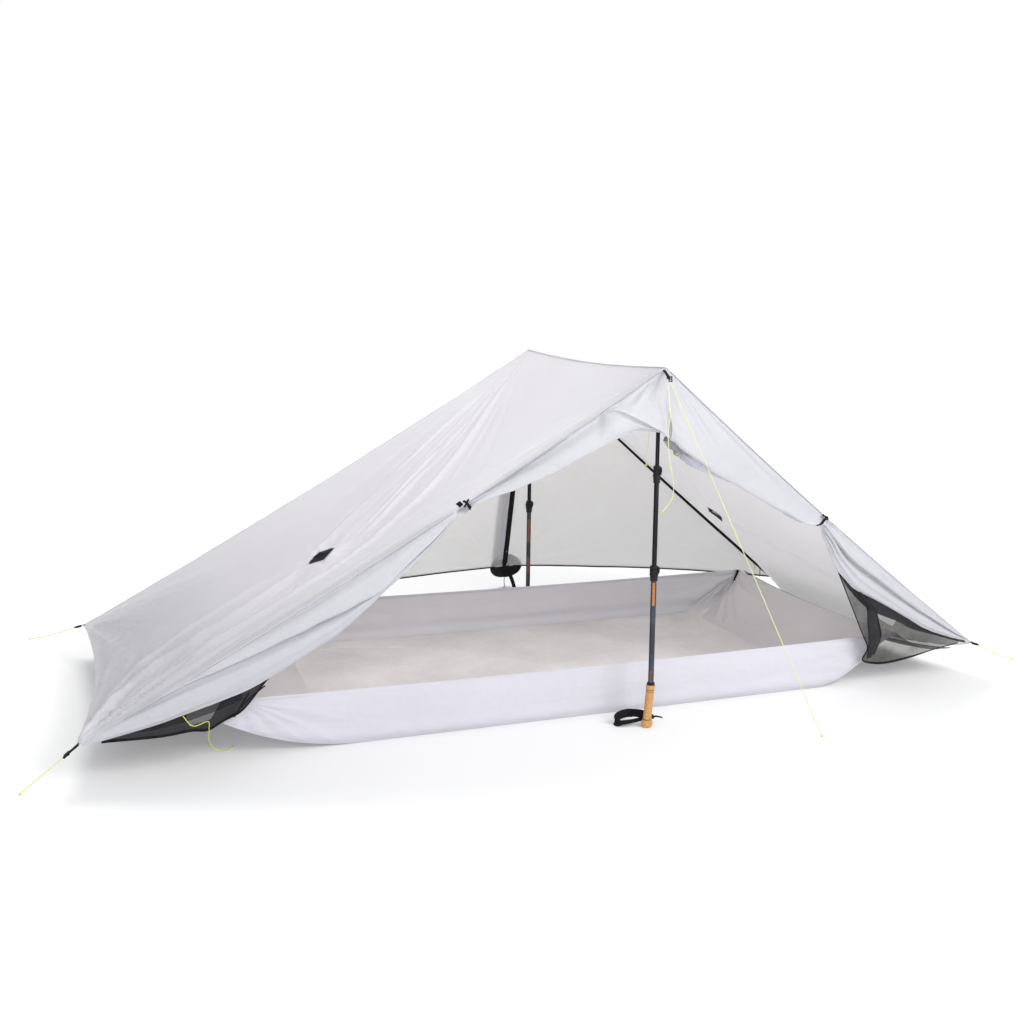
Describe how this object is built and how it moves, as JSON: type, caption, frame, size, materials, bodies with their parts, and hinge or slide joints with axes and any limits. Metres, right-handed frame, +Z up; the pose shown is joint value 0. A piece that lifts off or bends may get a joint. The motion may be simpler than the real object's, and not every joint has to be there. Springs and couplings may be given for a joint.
{
  "type": "trekking pole ridge tent",
  "caption": "Single-wall ridge tent on trekking poles: silvery canopy, bathtub floor, near door tied back, far vestibule zipped shut.",
  "frame": {"origin": "middle of the bathtub floor's underside", "axes": "+X along the sleeping length, +Y towards the closed far vestibule, +Z up"},
  "size_m": [3.7436, 2.1126, 1.1918],
  "materials": {
    "silver_fabric": "satin silicone-coated ripstop, slightly translucent",
    "silver_door_fabric": "satin silicone-coated ripstop, slightly translucent",
    "silver_wall_fabric": "satin coated fabric",
    "grey_floor_fabric": "matt coated floor fabric",
    "black_netting": "fine open netting",
    "grey_netting_roll": "rolled netting",
    "black_webbing": "woven webbing",
    "black_zipper": "woven tape with fine coil",
    "black_plastic": "moulded, slight sheen",
    "yellow_cord": "braided sheath",
    "black_tube": "black anodised",
    "slate_tube": "slate lacquered",
    "cork": "moulded cork",
    "clamp_plastic": "moulded, slight sheen"
  },
  "bodies": {
    "shelter": {"canopy_left_panel": "silver_fabric", "canopy_right_panel": "silver_fabric", "near_left_door": "silver_door_fabric", "near_right_door": "silver_door_fabric", "far_left_door": "silver_door_fabric", "far_right_door": "silver_door_fabric", "far_zipper_tape": "black_zipper", "far_mesh_zipper": "black_zipper", "near_peak_line_lock": "black_plastic", "line_lock_near_left": "black_plastic", "line_lock_far_left": "black_plastic", "line_lock_near_right": "black_plastic", "far_hem_patch": "black_webbing", "far_stake_webbing": "black_webbing", "left_tieout_patch": "black_webbing", "right_tieout_patch": "black_webbing", "near_peak_grommet": "black_webbing", "far_peak_grommet": "black_webbing", "bathtub_corner_strip": "black_webbing", "corner_webbing_near_left": "black_webbing", "corner_webbing_far_left": "black_webbing", "corner_webbing_near_right": "black_webbing", "corner_webbing_far_right": "black_webbing", "bathtub_floor": "grey_floor_fabric", "bathtub_near_wall": "silver_wall_fabric", "bathtub_far_wall": "silver_wall_fabric", "bathtub_left_wall": "silver_wall_fabric", "bathtub_right_wall": "silver_wall_fabric", "mesh_near_left": "black_netting", "mesh_near_right": "black_netting", "mesh_left_end": "black_netting", "mesh_right_end": "black_netting", "mesh_door_roll": "grey_netting_roll", "roll_tie_cord": "yellow_cord", "near_guyline": "yellow_cord", "corner_cord_near_left": "yellow_cord", "corner_cord_far_left": "yellow_cord", "corner_cord_near_right": "yellow_cord", "left_free_cord": "yellow_cord", "inner_hanging_cord": "yellow_cord"},
    "near_pole_top": {"near_lower_shaft": "black_tube"},
    "near_pole_middle": {"near_middle_shaft": "black_tube", "near_lock_1_body": "clamp_plastic"},
    "near_pole_bottom": {"near_upper_shaft": "slate_tube", "near_lock_2_body": "clamp_plastic", "near_grip": "cork", "near_wrist_strap": "black_webbing"},
    "near_lever_1": {"near_lock_1_lever": "clamp_plastic"},
    "near_lever_2": {"near_lock_2_lever": "clamp_plastic"},
    "far_pole_top": {"far_lower_shaft": "black_tube"},
    "far_pole_middle": {"far_middle_shaft": "black_tube", "far_lock_1_body": "clamp_plastic"},
    "far_pole_bottom": {"far_upper_shaft": "slate_tube", "far_lock_2_body": "clamp_plastic", "far_grip": "cork"},
    "far_lever_1": {"far_lock_1_lever": "clamp_plastic"},
    "far_lever_2": {"far_lock_2_lever": "clamp_plastic"},
    "zipper_slider": {"far_zipper_slider": "black_plastic"},
    "left_toggle": {"left_door_toggle": "black_plastic"},
    "right_toggle": {"right_door_toggle": "black_plastic"}
  },
  "joints": [
    {"name": "near_pole_swing", "type": "hinge", "parent": "shelter", "child": "near_pole_top", "pos_m": [0.095, -0.605, 1.15], "axis": [-0.0002, 0.9986, -0.0522], "range_deg": [-12, 12]},
    {"name": "near_lower_telescope", "type": "slide", "parent": "near_pole_top", "child": "near_pole_middle", "axis": [0.0043, 0.0522, 0.9986], "range_m": [0, 0.22]},
    {"name": "near_upper_telescope", "type": "slide", "parent": "near_pole_middle", "child": "near_pole_bottom", "axis": [0.0043, 0.0522, 0.9986], "range_m": [0, 0.25]},
    {"name": "near_lock_1_release", "type": "hinge", "parent": "near_pole_middle", "child": "near_lever_1", "pos_m": [0.1006, -0.63363, 0.85082], "axis": [-0.0043, -0.0522, -0.9986], "range_deg": [0, 95]},
    {"name": "near_lock_2_release", "type": "hinge", "parent": "near_pole_bottom", "child": "near_lever_2", "pos_m": [0.10012, -0.65232, 0.52709], "axis": [-0.0043, -0.0522, -0.9986], "range_deg": [0, 95]},
    {"name": "far_pole_swing", "type": "hinge", "parent": "shelter", "child": "far_pole_top", "pos_m": [0.115, 0.55, 1.158], "axis": [-0.0002, 0.9999, 0.0104], "range_deg": [-12, 12]},
    {"name": "far_lower_telescope", "type": "slide", "parent": "far_pole_top", "child": "far_pole_middle", "axis": [-0.0173, -0.0104, 0.9998], "range_m": [0, 0.22]},
    {"name": "far_upper_telescope", "type": "slide", "parent": "far_pole_middle", "child": "far_pole_bottom", "axis": [-0.0173, -0.0104, 0.9998], "range_m": [0, 0.25]},
    {"name": "far_lock_1_release", "type": "hinge", "parent": "far_pole_middle", "child": "far_lever_1", "pos_m": [0.12709, 0.54013, 0.85781], "axis": [0.0173, 0.0104, -0.9998], "range_deg": [0, 95]},
    {"name": "far_lock_2_release", "type": "hinge", "parent": "far_pole_bottom", "child": "far_lever_2", "pos_m": [0.13363, 0.54173, 0.53361], "axis": [0.0173, 0.0104, -0.9998], "range_deg": [0, 95]},
    {"name": "far_zipper_slide", "type": "slide", "parent": "shelter", "child": "zipper_slider", "axis": [-0.1065, -0.472, 0.8751], "range_m": [0, 0.95]},
    {"name": "left_toggle_turn", "type": "hinge", "parent": "shelter", "child": "left_toggle", "pos_m": [-0.552, -0.64, 0.774], "axis": [0, 1, 0], "range_deg": [-45, 45]},
    {"name": "right_toggle_turn", "type": "hinge", "parent": "shelter", "child": "right_toggle", "pos_m": [0.7512, -0.6335, 0.673], "axis": [0, 1, 0], "range_deg": [-45, 45]}
  ]
}
